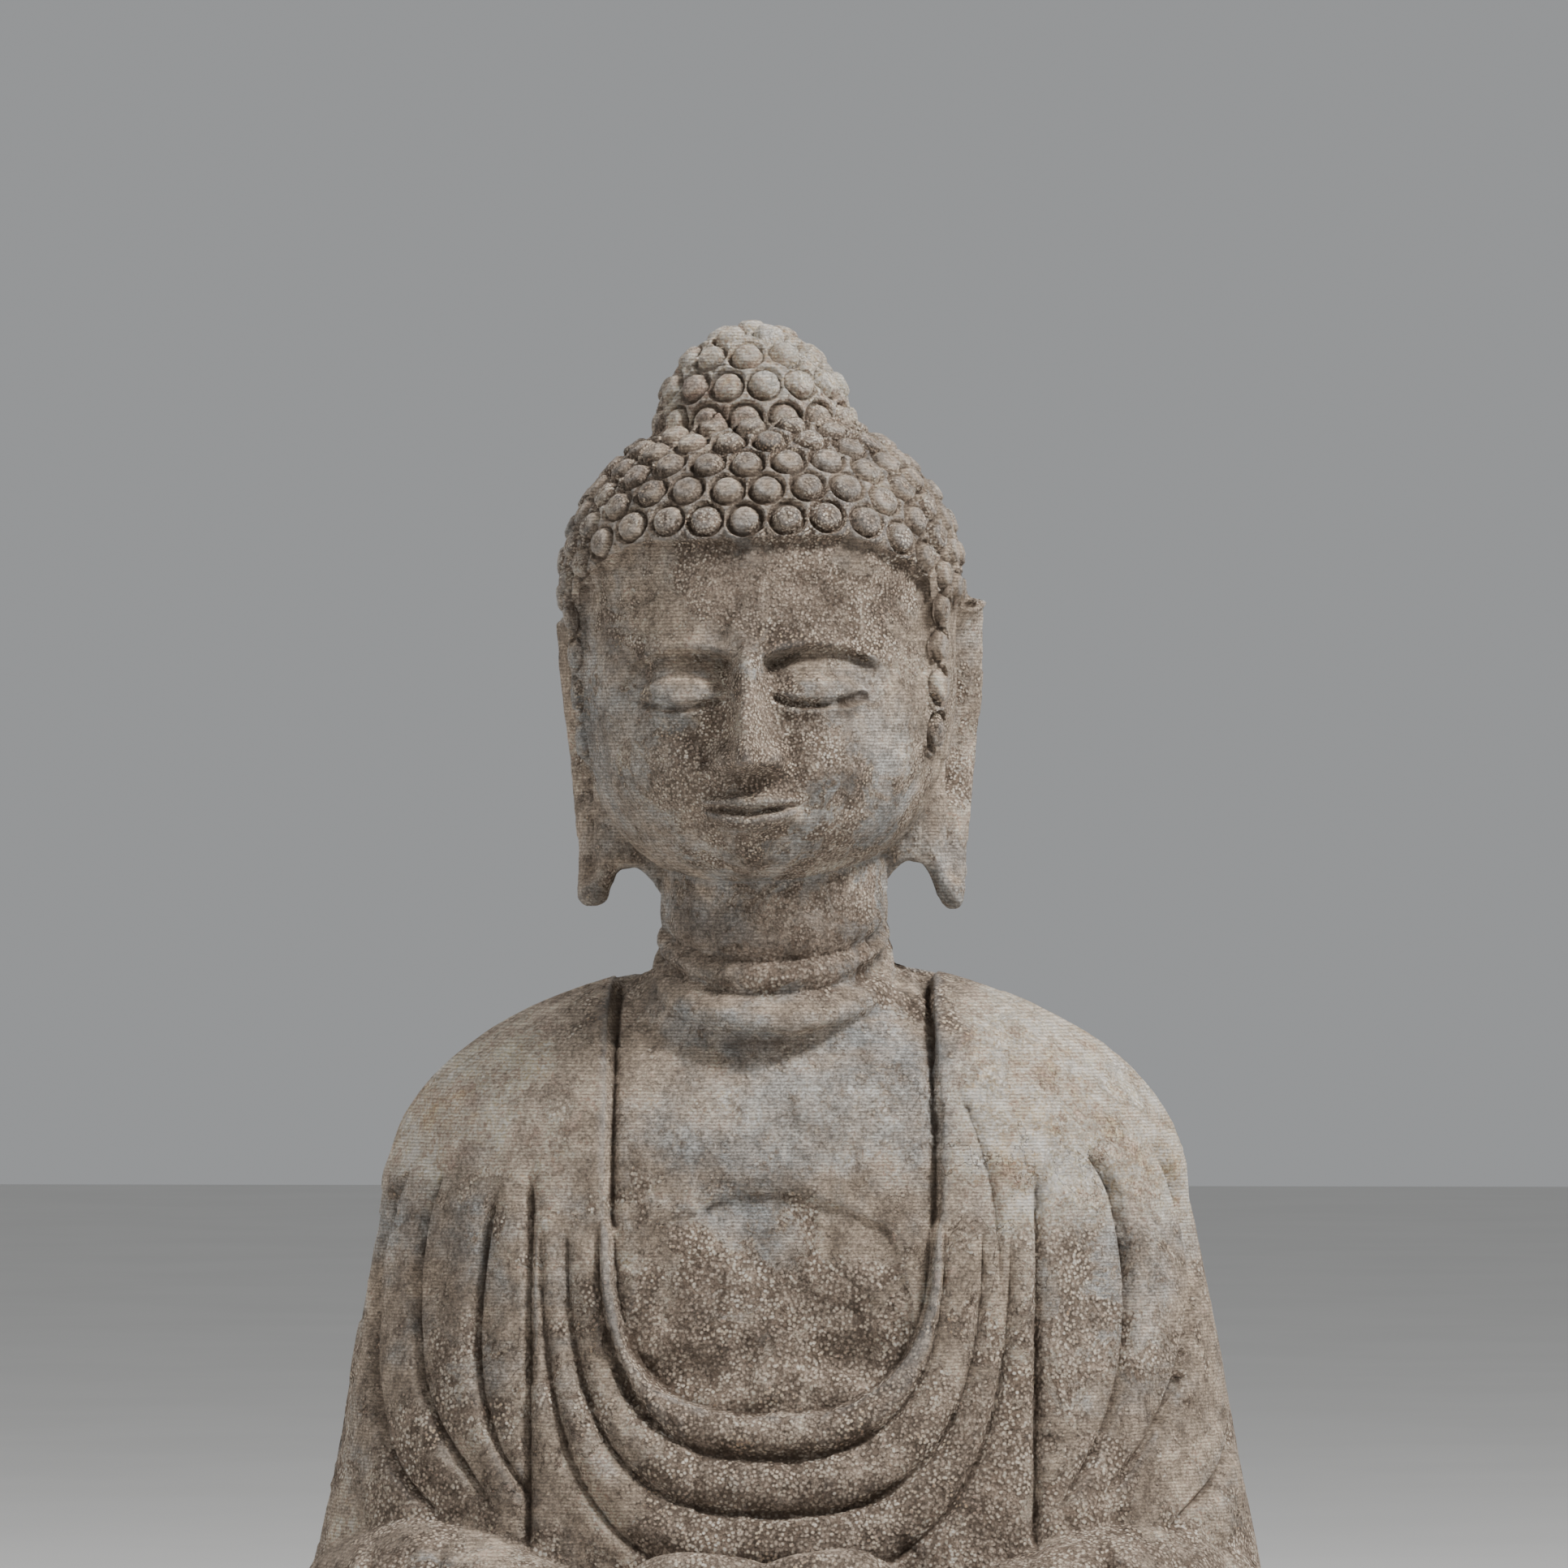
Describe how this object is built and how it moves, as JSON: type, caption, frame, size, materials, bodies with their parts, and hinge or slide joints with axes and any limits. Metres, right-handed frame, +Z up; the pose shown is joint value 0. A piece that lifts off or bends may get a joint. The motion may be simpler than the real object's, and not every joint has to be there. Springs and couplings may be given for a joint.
{
  "type": "seated stone buddha statue",
  "caption": "Seated stone buddha in meditation with snail curls, long ears and a draped robe, carved in one block with a low base",
  "frame": {"origin": "the middle of the base's underside, below the middle of the statue's box", "axes": "+Z up, the figure faces -Y, +X is the figure's left"},
  "size_m": [0.752, 0.424, 0.8554],
  "materials": {
    "stone": "matte"
  },
  "bodies": {
    "root": {"stone_buddha": "stone"}
  },
  "joints": []
}
